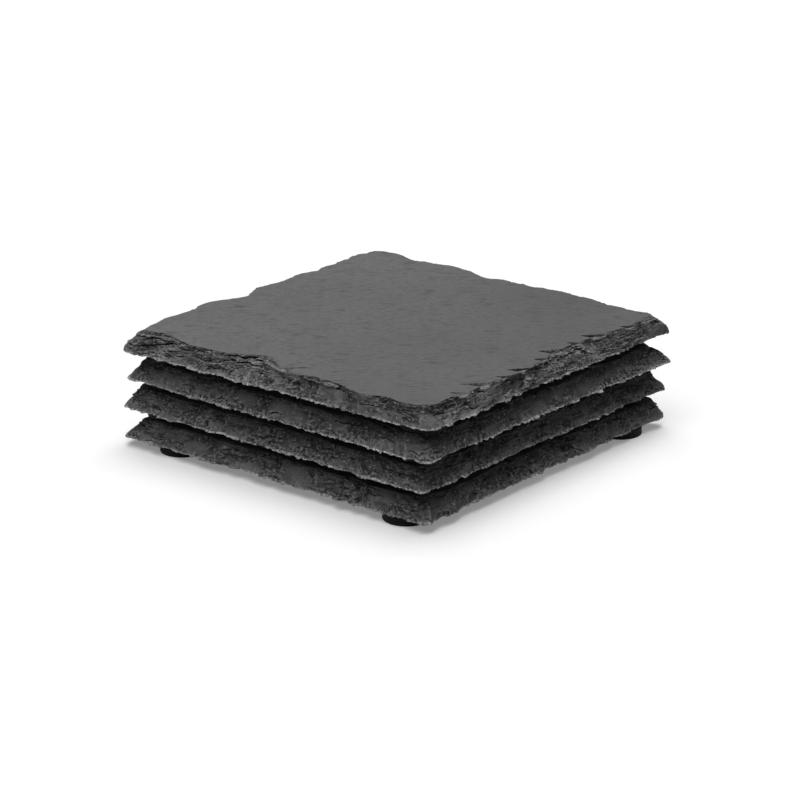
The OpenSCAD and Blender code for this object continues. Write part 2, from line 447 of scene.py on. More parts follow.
# The rim hangs this far below the underside where nothing is bitten out of it, and a bite lifts
# it by this share of the bite's depth. Both fade out over a share of the side's height.
RIM_DROP = 0.2
RIM_LIFT = 0.9
RIM_ZONE = 0.3

# Rows between the underside and the rim: share of the rim's height, and how far back from it
UNDERSIDE_ROWS = ((0.0, 0.5), (0.4, 0.14))

# Breaks are shallower by this share at the slate's corners, within this reach of them, so that
# the corners keep their outline. Between these shares of the height most of it is taken back.
CORNER_CALM = 0.75
CORNER_REACH = 2.5
CORNER_FREED = 0.9
CORNER_HEIGHTS = (0.12, 0.4)


def rings_of(node):
    """The level rings of a slate's solid, lowest first, each from its front left corner round."""
    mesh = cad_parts[node].data
    points = np.empty(len(mesh.vertices) * 3)
    mesh.vertices.foreach_get("co", points)
    points = np.unique(np.round(points.reshape(-1, 3), POINT_DIGITS), axis=0)
    heights = np.unique(np.round(points[:, 2], LEVEL_DIGITS))
    middle = (points.min(axis=0) + points.max(axis=0)) / 2
    flat = points[:, 0] - middle[0] + 1j * (points[:, 1] - middle[1])
    # To the fourth power, a square's corners all point the same way, at four times its turn
    turn = np.angle(-np.sum(flat**4)) / 4
    rings = []
    for height in heights:
        level = np.abs(points[:, 2] - height) < LEVEL_GAP
        angle = (np.angle(flat[level]) - turn + FIRST_CORNER) % (2 * math.pi)
        rings.append(points[level][np.argsort(angle)])
    return rings


def round_ring(ring, count):
    """The ring drawn again as a smooth closed curve with this many even points."""
    places = np.arange(count) * len(ring) / count - 0.5
    start = np.floor(places).astype(int)
    t = (places - start)[:, None]
    before, here, after, beyond = (ring[(start + k) % len(ring)] for k in (-1, 0, 1, 2))
    slope_in = (after - before) / 2
    slope_out = (beyond - here) / 2
    bend = 3 * (after - here) - 2 * slope_in - slope_out
    turn = slope_in + slope_out - 2 * (after - here)
    return here + t * (slope_in + t * (bend + t * turn))


def soft_step(value, low, high):
    """0 below low, 1 above high and a soft rise between."""
    t = np.clip((value - low) / (high - low), 0, 1)
    return t * t * (3 - 2 * t)


class Sheet:
    """A slate's dressed side laid out flat: length round the slate and height, in millimetres."""

    def __init__(self, count, rows, length, low, high, seed):
        self.rng = np.random.default_rng(seed)
        self.length = length
        self.low = low
        self.high = high
        self.s = (np.arange(count) * length / count)[:, None] * np.ones((1, rows))
        self.z = np.linspace(low, high, rows)[None, :] * np.ones((count, 1))
        self.h = (self.z - low) / (high - low)

    def grid(self, step_s, step_z):
        """Counts of random cells of this size, and where each point lies among them."""
        columns = max(4, round(self.length / step_s))
        rows = int(math.ceil((self.high - self.low) / step_z)) + 4
        across = self.s / self.length * columns
        up = (self.z - self.low) / step_z + 1 + self.rng.uniform(0, 1)
        return columns, rows, across, up

    def waves(self, step_s, step_z):
        """Smooth random values from -1 to 1, with features of this length and height."""
        columns, rows, across, up = self.grid(step_s, step_z)
        values = self.rng.uniform(-1, 1, (columns, rows))
        i, j = np.floor(across).astype(int), np.floor(up).astype(int)
        a, b = across - i, up - j
        a, b = a * a * (3 - 2 * a), b * b * (3 - 2 * b)
        lower = values[i % columns, j] * (1 - a) + values[(i + 1) % columns, j] * a
        upper = values[i % columns, j + 1] * (1 - a) + values[(i + 1) % columns, j + 1] * a
        return lower * (1 - b) + upper * b

    def flakes(self, step_s, step_z, tilt):
        """Random flat flakes of this size, each with its own depth from -1 to 1 and its own tilt.

        The second result is 1 on the cracks between them and 0 inside them.
        """
        columns, rows, across, up = self.grid(step_s, step_z)
        # The flakes' borders wander, so that they don't run straight between random points
        across = across + 0.35 * self.waves(step_s * 0.45, step_z * 0.6)
        up = up + 0.45 * self.waves(step_s * 0.6, step_z * 0.5)
        jitter = self.rng.uniform(0.02, 0.98, (2, columns, rows))
        depth = self.rng.uniform(-1, 1, (columns, rows))
        lean = self.rng.uniform(-tilt, tilt, (2, columns, rows))
        i, j = np.floor(across).astype(int), np.floor(up).astype(int)
        nearest = np.full(across.shape, np.inf)
        second = np.full(across.shape, np.inf)
        result = np.zeros(across.shape)
        for di in (-1, 0, 1):
            for dj in (-1, 0, 1):
                column = (i + di) % columns
                row = np.clip(j + dj, 0, rows - 1)
                ds = across - (i + di + jitter[0, column, row])
                dz = up - (j + dj + jitter[1, column, row])
                distance = np.hypot(ds, dz)
                value = depth[column, row] + lean[0, column, row] * ds + lean[1, column, row] * dz
                second = np.minimum(second, np.maximum(distance, nearest))
                closer = distance < nearest
                nearest[closer] = distance[closer]
                result[closer] = value[closer]
        return result, 1 - soft_step(second - nearest, *FLAKE_CRACK)

    def away(self, place):
        """Distance along the side from a place, the shorter way round."""
        return (self.s - place + self.length / 2) % self.length - self.length / 2

    def scars(self, count, widths, heights, depths, centres):
        """Shallow scoops where flakes were struck off. Where two meet, the deeper one wins."""
        cut = np.zeros(self.s.shape)
        for _ in range(count):
            place = self.rng.uniform(0, self.length)
            width = self.rng.uniform(*widths)
            height = self.rng.uniform(*heights)
            depth = self.rng.uniform(*depths)
            centre = self.rng.uniform(*centres)
            lean = self.rng.uniform(-0.6, 0.6)
            ds = (self.away(place) - lean * (self.z - centre)) / width
            far = ds * ds + ((self.z - centre) / height) ** 2
            # The blow leaves faint rings in its scoop
            ripple = 0.05 * np.cos(8 * far) * (far < 1)
            cut = np.maximum(cut, depth * (1 - far + ripple))
        return cut

    def slit(self, place, height, reach, rise, depth, thickness):
        """A thin wavy cut between two layers, widest in its middle."""
        ds = self.away(place)
        along = np.clip(1 - (ds / reach) ** 2, 0, 1)
        # Two waves, a long and a short one, keep the cut from running straight
        wave = 0.1 * np.sin(ds * 1.6 + place) + 0.04 * np.sin(ds * 4.3 + 2 * place)
        gap = np.abs(self.z - height - rise * ds - wave)
        return depth * along * (gap < thickness * np.sqrt(along))

    def splinter(self, place, depth, width):
        """A pointed notch, before it leans along the grain."""
        return depth * np.clip(1 - np.abs(self.away(place)) / width, 0, 1)

    def rib(self, place, height, reach, stand):
        """A narrow upright rib, highest in its middle."""
        upright = np.clip(1 - ((self.z - height) / reach) ** 2, 0, 1)
        lean = self.away(place) - 0.12 * np.sin(2 * self.z + place)
        return stand * upright * np.exp(-((lean / RIB_HALF_WIDTH) ** 2))

    def corners(self, reach):
        """1 at the slate's four corners, falling to 0 away from them."""
        return sum(np.exp(-((self.away(k * SIDE_MM) / reach) ** 2)) for k in range(4))

    def patch(self, place, height, reach, rise):
        """1 inside an uneven patch and 0 outside it, with a soft edge."""
        far = (self.away(place) / reach) ** 2 + ((self.z - height) / rise) ** 2
        return 1 - soft_step(far + 0.8 * self.waves(reach * 0.4, rise * 0.7), 0.4, 1.0)

    def spot(self, place, reach):
        """1 at a place of the side and 0 further away than its reach, with a soft edge."""
        return 1 - soft_step(np.abs(self.away(place)) / reach, 0.74, 1.0)


def blurred(values, reach_s, reach_z):
    """The values smoothed over this many points along the side and up it."""
    for _ in range(reach_s):
        values = (np.roll(values, 1, axis=0) + values * 2 + np.roll(values, -1, axis=0)) / 4
    for _ in range(reach_z):
        padded = np.pad(values, ((0, 0), (1, 1)), mode="edge")
        values = (padded[:, :-2] + values * 2 + padded[:, 2:]) / 4
    return values


def layered(sheet, insets):
    """The insets stepped like split layers: each layer's edge stands upright."""
    rows = insets.shape[1]
    row_height = (sheet.high - sheet.low) / (rows - 1)
    # The layers rise and fall along the side and jump where it is broken
    drift = 0.5 * sheet.waves(9, 40) + 0.25 * sheet.waves(3.5, 40)
    drift = drift + 0.35 * sheet.flakes(7, 2.4, 0.2)[0]
    height = sheet.z - sheet.low + drift + LAYERS_BELOW
    bounds = [0.0]
    while bounds[-1] < sheet.high + LAYERS_ABOVE:
        bounds.append(bounds[-1] + sheet.rng.uniform(*LAYER_THICKNESS))
    bounds = np.array(bounds)
    layer = np.clip(np.searchsorted(bounds, height) - 1, 0, len(bounds) - 2)
    middle = (bounds[layer] + bounds[layer + 1]) / 2 - drift - LAYERS_BELOW
    row = np.clip(np.round(middle / row_height).astype(int), 0, rows - 1)
    return np.take_along_axis(insets, row, axis=1)


def dressed_insets(sheet, bevel, tier):
    """How far in each point of the dressed side lies from the rim, in millimetres."""
    h = sheet.h
    power = SLOPE_POWER + SLOPE_WANDER * sheet.waves(11, 60)
    for place, reach, own in PROFILES[tier]:
        power += sheet.spot(place, reach) * (own - power)
    plain = bevel[:, None] * h ** power
    insets = plain.copy()

    # Shares of each kind of break: shallow at the rim and at the top, nearly none on the smooth
    # patches, and in groups along the side
    freed = CORNER_FREED * soft_step(h, *CORNER_HEIGHTS)
    kept = 1 - CORNER_CALM * sheet.corners(CORNER_REACH) * (1 - freed)
    body = soft_step(h, 0.0, 0.22) * (1 - 0.7 * soft_step(h, 0.8, 1.0))
    calm = np.zeros(h.shape)
    for facet in FACETS[tier]:
        calm = np.maximum(calm, sheet.patch(*facet))
    groups = 0.12 + 0.88 * soft_step(sheet.waves(7, 2.5), -0.3, 0.3)
    busy = groups * (1 - 0.92 * calm) * BROKEN[tier]

    for scars in SCARS:
        insets += body * (1 - 0.3 * calm) * sheet.scars(*scars)
    stepped = 0.6 * soft_step(sheet.waves(6, 1.8), 0.1, 0.4) * (1 - calm) * BROKEN[tier]
    insets += (layered(sheet, insets) - insets) * stepped
    edge = busy * (0.35 + 0.65 * body)
    for width, height, depth, crack in FLAKES:
        step, border = sheet.flakes(width, height, 0.9)
        split = soft_step(sheet.waves(width * 0.8, height), 0.0, 0.4)
        insets += edge * (depth * step + crack * border * split)
    insets = plain + (insets - plain) * kept
    for _ in range(int(CRACK_COUNT * BROKEN[tier])):
        place = sheet.rng.uniform(0, sheet.length)
        height, reach, depth, rise, thickness = (sheet.rng.uniform(*limits) for limits in CRACKS)
        insets += (1 - calm) * sheet.slit(place, height, reach, rise, depth, thickness)
    for slit in SLITS[tier]:
        insets += sheet.slit(*slit)
    for rib in RIBS[tier]:
        insets -= sheet.rib(*rib)
    for depth, fade, width, height in FLUTES:
        insets += kept * depth * np.exp(-((h / fade) ** 2)) * np.abs(sheet.waves(width, height))
    insets += busy * sum(depth * sheet.waves(width, height) for depth, width, height in GRIT)
    return np.maximum(insets, 0)


def splintered(sheet, insets, tier):
    """The insets with the top layer's crumbs and notches, and the notches' own depth."""
    begins, whole = TOP_LAYER
    top_layer = soft_step(sheet.z, sheet.high - begins, sheet.high - whole)
    crumbs = np.maximum(sheet.flakes(2.6, 0.5, 0.6)[0], -0.2) * 0.4
    insets = insets + top_layer * crumbs
    # A notch has clean walls, so it starts from a side without crumbs
    smooth = blurred(insets, 24, 0)
    notches = np.zeros(insets.shape)
    for place, depth, width in SPLINTERS[tier]:
        notch = top_layer * sheet.splinter(place, depth, width)
        insets += (smooth - insets) * np.clip(notch / 0.3, 0, 1) + notch
        notches += notch
    return insets, notches


def rim_bites(sheet):
    """Small bites along the rim, in millimetres of depth at the rim."""
    bite = np.zeros(sheet.s.shape[0])
    for widths, depths in RIM_BITES:
        place = 0.0
        while place < sheet.length:
            width = sheet.rng.uniform(*widths)
            ds = sheet.away(place)[:, 0] / width
            bite = np.maximum(bite, sheet.rng.uniform(*depths) * (1 - ds * ds))
            place += width * sheet.rng.uniform(*BITE_SPACING)
    return bite * (1 - CORNER_CALM * sheet.corners(CORNER_REACH)[:, 0])


def band_faces(rings, count):
    """Four-sided faces between rings of this many points, counted ring by ring."""
    faces = []
    for ring in range(rings - 1):
        here = ring * count
        for k in range(count):
            after = (k + 1) % count
            faces.append((here + k, here + after, here + count + after, here + count + k))
    return faces


def inside(points, outline, margin):
    """Which points lie inside a closed outline and further than the margin from it."""
    keep = np.zeros(len(points), dtype=bool)
    x, y = points[:, 0], points[:, 1]
    for a, b in zip(outline, np.roll(outline, -1, axis=0)):
        crosses = np.flatnonzero((a[1] > y) != (b[1] > y))
        reach = a[0] + (y[crosses] - a[1]) / (b[1] - a[1] or 1) * (b[0] - a[0])
        keep[crosses[x[crosses] < reach]] ^= True
    clear = np.array([np.min(np.hypot(*(outline - p).T)) > margin for p in points])
    return keep & clear


def fill_outline(outline, step, rng):
    """Triangles that fill a closed outline, and the inner points that they use."""
    low, high = outline.min(axis=0), outline.max(axis=0)
    xs, ys = np.arange(low[0], high[0], step), np.arange(low[1], high[1], step)
    grid = np.array([(x, y) for x in xs for y in ys])
    grid += rng.uniform(-POINT_STRAY, POINT_STRAY, grid.shape) * step
    count = len(outline)
    inner = grid[inside(grid, outline, step * POINT_CLEARANCE)]
    points = [Vector(p) for p in np.vstack((outline, inner))]
    edges = [(k, (k + 1) % count) for k in range(count)]
    filled = delaunay_2d_cdt(points, edges, [], INSIDE_ONLY, SAME_POINT)
    made, _, triangles, origins, _, _ = filled
    return made, triangles, origins


def dressed_rows(sheet, insets, bite, lean):
    """Rows of the dressed side from the underside up.

    Each row holds its insets, its leans along the side, its heights and how far it stands out.
    """
    near_rim = np.clip(1 - sheet.h / RIM_ZONE, 0, 1)
    rim_height = RIM_LIFT * bite - RIM_DROP
    heights = sheet.z + (rim_height - sheet.low)[:, None] * near_rim
    # How far each point stands out from those round it. The side's material uses it to paint hollows
    # darker, as painted shade, and what stands out paler.
    stand_out = blurred(insets, 8, 3) - insets
    # Where next to nothing is bitten out of the rim, it counts as standing out, so that the material
    # paints it paler: crushed slate, and partly a painted highlight
    stand_out += 0.35 * np.clip(0.3 - bite, 0, 1)[:, None] * near_rim
    rows = []
    for share, back in UNDERSIDE_ROWS:
        rows.append((insets[:, 0] + back + 0.3 * bite, 0 * bite, heights[:, 0] * share, 0 * bite))
    for row in range(insets.shape[1]):
        rows.append((insets[:, row], lean[:, row], heights[:, row], stand_out[:, row]))
    return rows


def slate_mesh(name, node, tier, sizes):
    """A slate's mesh, built round the rings of its solid."""
    rings = rings_of(node)
    length = 4 * SIDE_MM
    count = int(round(length * MM / sizes.sample_step))
    rim = round_ring(rings[1], count)
    top = round_ring(rings[-1], count)
    low, high = rings[0][0, 2] / MM, rings[-1][0, 2] / MM
    inward = top[:, :2] - rim[:, :2]
    bevel = np.hypot(inward[:, 0], inward[:, 1])
    inward /= bevel[:, None]
    rim_height = rings[1][0, 2] / MM - low
    sheet = Sheet(count, sizes.side_rows, length, rim_height, high - low, SLATE_SEEDS[tier])
    insets = dressed_insets(sheet, bevel / MM, tier)
    bite = rim_bites(sheet)
    insets += bite[:, None] * np.exp(-((sheet.h / BITE_HEIGHT) ** 2))
    insets, notches = splintered(sheet, insets, tier)
    along = np.column_stack((inward[:, 1], -inward[:, 0]))
    slant = np.clip((along @ GRAIN) / (inward @ GRAIN), -SPLINTER_LEAN, SPLINTER_LEAN)
    lean = notches * slant[:, None]

    vertices, raised, climb = [], [], []
    for inset, shift, height, out in dressed_rows(sheet, insets, bite, lean):
        xy = rim[:, :2] + (inward * inset[:, None] + along * shift[:, None]) * MM
        vertices.append(np.column_stack((xy, (low + height) * MM)))
        raised.append(out)
        climb.append(height / (high - low))
    row_count = len(vertices)
    faces = band_faces(row_count, count)
    slots = [SIDE_SLOT] * len(faces)
    points = [tuple(p) for p in np.vstack(vertices)]
    raised, climb = list(np.concatenate(raised)), list(np.concatenate(climb))

    for row, z, upward in ((0, low, False), (row_count - 1, high, True)):
        made, triangles, origins = fill_outline(vertices[row][:, :2], sizes.face_step, sheet.rng)
        numbers = []
        for point, sources in zip(made, origins):
            own = [v for v in sources if v < count]
            if own:
                numbers.append(row * count + own[0])
                continue
            numbers.append(len(points))
            points.append((point.x, point.y, z * MM))
            raised.append(0.0)
            climb.append(float(upward))
        for triangle in triangles:
            corners = [numbers[v] for v in triangle]
            faces.append(tuple(corners if upward else reversed(corners)))
            slots.append(FACE_SLOT)

    mesh = bpy.data.meshes.new(name)
    mesh.from_pydata(points, [], faces)
    mesh.polygons.foreach_set("material_index", slots)
    for attribute, values in (("raised", raised), ("climb", climb)):
        mesh.attributes.new(attribute, "FLOAT", "POINT").data.foreach_set("value", values)
    mesh.update()
    mesh.validate()
    return mesh


# Materials


def new_material(name):
    """An empty node material with its output and its shader."""
    material = bpy.data.materials.new(name)
    material.use_nodes = True
    tree = material.node_tree
    tree.nodes.clear()
    output = tree.nodes.new("ShaderNodeOutputMaterial")
    shader = tree.nodes.new("ShaderNodeBsdfPrincipled")
    tree.links.new(shader.outputs["BSDF"], output.inputs["Surface"])
    return material, tree, shader


def add_node(tree, kind, inputs=None, **options):
    """A node with its settings, and its inputs linked or set."""
    node = tree.nodes.new(kind)
    for key, value in options.items():
        setattr(node, key, value)
    for key, value in (inputs or {}).items():
        if isinstance(value, bpy.types.NodeSocket):
            tree.links.new(value, node.inputs[key])
        else:
            node.inputs[key].default_value = value
    return node


def grain_space(tree, stretch, turn):
    """Object coordinates, drawn out by these factors along axes turned by this angle."""
    place = add_node(tree, "ShaderNodeTexCoord")
    return add_node(
        tree,
        "ShaderNodeMapping",
        {"Vector": place.outputs["Object"], "Rotation": (0, 0, turn), "Scale": stretch},
        vector_type="TEXTURE",
    ).outputs["Vector"]


def noise(tree, vector, scale, detail=3.0, roughness=0.6):
    """A noise texture's value."""
    return add_node(
        tree,
        "ShaderNodeTexNoise",
        {"Vector": vector, "Scale": scale, "Detail": detail, "Roughness": roughness},
    ).outputs["Fac"]


def ramp(tree, value, low, high, start=0.0, end=1.0):
    """The value mapped from one range to another and clamped."""
    return add_node(
        tree,
        "ShaderNodeMapRange",
        {"Value": value, "From Min": low, "From Max": high, "To Min": start, "To Max": end},
        interpolation_type="SMOOTHSTEP",
    ).outputs["Result"]


def combine(tree, kind, first, second):
    """Two values joined by one operation."""
    return add_node(tree, "ShaderNodeMath", {0: first, 1: second}, operation=kind).outputs[0]


def blend(tree, share, first, second):
    """Two colours mixed by a share."""
    node = add_node(tree, "ShaderNodeMix", data_type="RGBA")
    for socket, value in ((0, share), (6, first), (7, second)):
        if isinstance(value, bpy.types.NodeSocket):
            tree.links.new(value, node.inputs[socket])
        else:
            node.inputs[socket].default_value = value
    return node.outputs[2]


def shade(colour, factor):
    """A colour made lighter or darker, with full alpha."""
    return (*(c * factor for c in colour), 1.0)


def face_material(look):
    """Smooth split slate: even grey with fine streaks and cleavage lines along its grain, and painted
    light that makes it slowly lighter towards one side.
    """
    material, tree, shader = new_material("slate_face")
    even = grain_space(tree, (1, 1, 1), GRAIN_TURN)
    along = grain_space(tree, (4, 1, 1), GRAIN_TURN)
    long = grain_space(tree, (9, 1, 1), GRAIN_TURN)
    clouds = noise(tree, even, scale=30, detail=4, roughness=0.55)
    grain = noise(tree, along, scale=2800, detail=3, roughness=0.65)
    streaks = noise(tree, along, scale=1500, detail=3, roughness=0.6)
    dashes = noise(tree, long, scale=1700, detail=2, roughness=0.5)
    fades = noise(tree, even, scale=220, detail=2, roughness=0.5)
    # Painted light: the face grows slowly lighter towards one side and darker towards the other
    painted_light_space = grain_space(tree, (1, 1, 1), PAINTED_LIGHT_TURN)
    across = add_node(tree, "ShaderNodeSeparateXYZ", {0: painted_light_space}).outputs["X"]
    drift = ramp(tree, across, -0.06, 0.06, 0.3, -0.3)
    share = combine(tree, "ADD", clouds, drift)
    tone = blend(tree, share, shade(look.face_colour, 0.82), shade(look.face_colour, 1.24))
    tone = blend(tree, ramp(tree, grain, 0.35, 0.65, 0, 0.6), tone, shade(look.face_colour, 0.6))
    tone = blend(tree, ramp(tree, streaks, 0.55, 0.68, 0, 0.6), tone, shade(look.face_colour, 0.45))
    faded = ramp(tree, fades, 0.4, 0.56, 0, 0.9)
    dark = combine(tree, "MULTIPLY", ramp(tree, dashes, 0.56, 0.62), faded)
    tone = blend(tree, dark, tone, shade(look.face_colour, 0.5))
    specks = add_node(
        tree, "ShaderNodeTexVoronoi", {"Vector": even, "Scale": 140.0}, feature="F1"
    ).outputs["Distance"]
    chosen = noise(tree, even, scale=60, detail=0, roughness=0.5)
    few = ramp(tree, chosen, 0.58, 0.62)
    speck = combine(tree, "MULTIPLY", ramp(tree, specks, 0.05, 0.02), few)
    tone = blend(tree, speck, tone, shade(look.crushed_colour, 1.3))
    tree.links.new(tone, shader.inputs["Base Color"])
    shader.inputs["Roughness"].default_value = 0.6
    shader.inputs["Specular IOR Level"].default_value = 0.3
    height = combine(tree, "ADD", streaks, grain)
    bump = add_node(tree, "ShaderNodeBump", {"Height": height, "Strength": 0.35, "Distance": 0.3 * MM})
    tree.links.new(bump.outputs["Normal"], shader.inputs["Normal"])
    return material


# For each slate: how pale its crushed rim is, set slate by slate as painted light, and how far
# painted shade darkens its side towards the top face, where the slate above overhangs it
SIDE_PAINTED_LIGHT_AND_SHADE = {"top": (0.92, 0.0), "third": (1.4, 0.6), "second": (1.3, 0.5), "bottom": (1.0, 0.4)}


def side_material(look, tier):
    """Rough dressed slate: dark broken stone with pale crushed ridges and rim.

    Painted shade darkens its hollows and its side under the slate above, and dark specks stand in
    for the shade of tiny hollows. Painted light sets the rim's paleness slate by slate and
    highlights the rim where it is not bitten.
    """
    material, tree, shader = new_material(f"{tier}_slate_side")
    pale, dark = SIDE_PAINTED_LIGHT_AND_SHADE[tier]
    even = grain_space(tree, (1, 1, 1), 0)
    layers = grain_space(tree, (1, 1, 0.35), 0)
    upright = grain_space(tree, (1, 1, 4), 0)
    raised = add_node(tree, "ShaderNodeAttribute", attribute_name="raised").outputs["Fac"]
    climb = add_node(tree, "ShaderNodeAttribute", attribute_name="climb").outputs["Fac"]
    patches = noise(tree, layers, scale=170, detail=3, roughness=0.6)
    zones = ramp(tree, noise(tree, layers, scale=130, detail=3, roughness=0.5), 0.45, 0.57)
    grit = noise(tree, layers, scale=800, detail=4, roughness=0.65)
    fine = noise(tree, even, scale=1400, detail=3, roughness=0.65)
    ticks = noise(tree, upright, scale=1300, detail=3, roughness=0.6)
    own = look.side_colour
    tone = blend(tree, ramp(tree, patches, 0.3, 0.7), shade(own, 0.75), shade(own, 1.6))
    spots = ramp(tree, zones, 0, 1, 0.1, 0.9)
    spotted = combine(tree, "MULTIPLY", ramp(tree, grit, 0.48, 0.56), spots)
    tone = blend(tree, spotted, tone, shade(own, 0.28))
    # Painted shade: dark specks that stand in for the shade of tiny hollows
    deep = ramp(tree, zones, 0, 1, 0.1, 0.85)
    painted_pit_shade = combine(tree, "MULTIPLY", ramp(tree, fine, 0.46, 0.38), deep)
    tone = blend(tree, painted_pit_shade, tone, shade(own, 0.3))
    # Painted shade in the hollows and cracks, where a point lies deeper than those round it
    tone = blend(tree, ramp(tree, raised, -0.03, -0.3, 0, 0.9), tone, shade(own, 0.15))
    # Painted shade: the side darkens towards the top face, where the slate above overhangs it
    tone = blend(tree, ramp(tree, climb, 0.35, 0.85, 0, dark), tone, shade(own, 0.2))
    crushed = ramp(tree, fine, 0.42, 0.6, 0.1, 0.75)
    # Pale crushed slate where a point stands out; along the unbitten rim it is partly a painted
    # highlight
    ridge_crush_and_painted_highlight = combine(tree, "MULTIPLY", ramp(tree, raised, 0.04, 0.14), crushed)
    tone = blend(tree, ridge_crush_and_painted_highlight, tone, shade(look.crushed_colour, 0.9))
    chips = combine(tree, "MULTIPLY", ramp(tree, fine, 0.58, 0.65), spots)
    tone = blend(tree, chips, tone, shade(look.crushed_colour, 1.5))
    # Crushed slate, pale, low on the side; its paleness, set slate by slate, is painted light
    low = combine(tree, "MULTIPLY", ramp(tree, climb, 0.5, 0.04), ramp(tree, zones, 0, 1, 0.35, 1))
    powder_and_painted_light = combine(tree, "MULTIPLY", low, ramp(tree, ticks, 0.49, 0.57, 0, 0.75))
    tone = blend(tree, powder_and_painted_light, tone, shade(look.crushed_colour, 1.05 * pale))
    # Crushed slate, pale, along the rim; its paleness, set slate by slate, is painted light
    rim_wear_and_painted_light = ramp(tree, fine, 0.45, 0.55, 0.1, 1.0)
    rim = combine(tree, "MULTIPLY", ramp(tree, climb, 0.1, 0.05), rim_wear_and_painted_light)
    tone = blend(tree, rim, tone, shade(look.crushed_colour, 1.55 * pale))
    tree.links.new(tone, shader.inputs["Base Color"])
    shader.inputs["Roughness"].default_value = 0.75
    shader.inputs["Specular IOR Level"].default_value = 0.3
    height = combine(tree, "ADD", grit, combine(tree, "MULTIPLY", fine, 0.8))
    strength = ramp(tree, zones, 0, 1, 0.15, 1.0)
    bump = add_node(tree, "ShaderNodeBump", {"Height": height, "Strength": strength, "Distance": 1 * MM})
    tree.links.new(bump.outputs["Normal"], shader.inputs["Normal"])
    return material


def rubber_material(look):
    """Matt black rubber with a fine moulded grain."""
    material, tree, shader = new_material("black_rubber")
    even = grain_space(tree, (1, 1, 1), 0)
    grain = noise(tree, even, scale=1800, detail=3, roughness=0.6)
    dust = noise(tree, even, scale=300, detail=2, roughness=0.5)
    dusty = ramp(tree, dust, 0.5, 0.8)
    tone = blend(tree, dusty, shade(look.rubber_colour, 1), shade(look.rubber_colour, 2.2))
    tree.links.new(tone, shader.inputs["Base Color"])
    shader.inputs["Roughness"].default_value = 0.72
    shader.inputs["Specular IOR Level"].default_value = 0.2
    bump = add_node(tree, "ShaderNodeBump", {"Height": grain, "Strength": 0.25, "Distance": 0.2 * MM})
    tree.links.new(bump.outputs["Normal"], shader.inputs["Normal"])
    return material


def film_material(look):
    """Dark double-sided adhesive film with faint streaks of glue."""
    material, tree, shader = new_material("adhesive_film")
    even = grain_space(tree, (1, 1, 1), 0)
    streaks = noise(tree, even, scale=700, detail=3, roughness=0.6)
    tone = blend(tree, streaks, shade(look.film_colour, 0.8), shade(look.film_colour, 1.1))
    tree.links.new(tone, shader.inputs["Base Color"])
    shader.inputs["Roughness"].default_value = 0.35
    bump = add_node(tree, "ShaderNodeBump", {"Height": streaks, "Strength": 0.1, "Distance": 0.1 * MM})
    tree.links.new(bump.outputs["Normal"], shader.inputs["Normal"])
    return material


def floor_material(glow):
    """White floor that glows a little near the stack and is full white further away."""
    material, tree, shader = new_material("floor_white")
    path = add_node(tree, "ShaderNodeLightPath")
    seen = combine(tree, "ADD", path.outputs["Is Camera Ray"], path.outputs["Is Glossy Ray"])
    seen = combine(tree, "ADD", seen, path.outputs["Is Transmission Ray"])
    seen = combine(tree, "MINIMUM", seen, 1.0)
    tone = blend(tree, seen, shade(WHITE[:3], FLOOR_LIT), shade(WHITE[:3], FLOOR_SEEN))
    tree.links.new(tone, shader.inputs["Base Color"])
    place = add_node(tree, "ShaderNodeTexCoord").outputs["Object"]
    away = add_node(tree, "ShaderNodeVectorMath", {0: place}, operation="LENGTH").outputs["Value"]
    own = ramp(tree, away, *FLOOR_GLOW_REACH, glow, 1.0)
    tree.links.new(combine(tree, "MULTIPLY", seen, own), shader.inputs["Emission Strength"])
    shader.inputs["Emission Color"].default_value = WHITE
    shader.inputs["Roughness"].default_value = 1.0
    shader.inputs["Specular IOR Level"].default_value = 0.0
    return material


# Building


def settings():
    """The stack's settings in the current scene."""
    return bpy.context.scene.coaster_stack


def add_piece(name, mesh, body, replaced=None):
    """A mesh as a piece of the object that rides on its coaster."""
    piece = bpy.data.objects.new(name, mesh)
    bpy.context.scene.collection.objects.link(piece)
    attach(piece, body)
    if replaced:
        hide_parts(replaced)
    return piece


class COASTER_OT_slates(bpy.types.Operator):
    """Build the four chipped slates round their solids"""

    bl_idname = "coaster.slates"
    bl_label = "Slates"

    def execute(self, context):
        sizes = settings().slate
        face = face_material(sizes)
        for tier in TIERS:
            node = f"{tier}_slate"
            mesh = slate_mesh(f"{tier}_slate_stone", node, tier, sizes)
            for material in (face, side_material(sizes, tier)):
                mesh.materials.append(material)
            add_piece(f"{tier}_slate_stone", mesh, f"{tier}_coaster", node)
        return {"FINISHED"}


def foot_profile(radius, height, sizes):
    """Half section of a rubber foot, from the middle of its sole round to the middle of its top."""
    edge = sizes.edge_radius
    turns = [math.radians(a) for a in range(-90, 1, EDGE_STEP)]
    low = [(radius - edge + edge * math.cos(a), edge + edge * math.sin(a)) for a in turns]
    high = [(x, height - z) for x, z in reversed(low)]
    waist = [(radius - sizes.bulge, height / 2)]
    sole = [(radius * share, 0.0) for share in SOLE_RINGS]
    crown = [(x, height) for x, _ in reversed(sole)]
    return sole + low + waist + high + crown


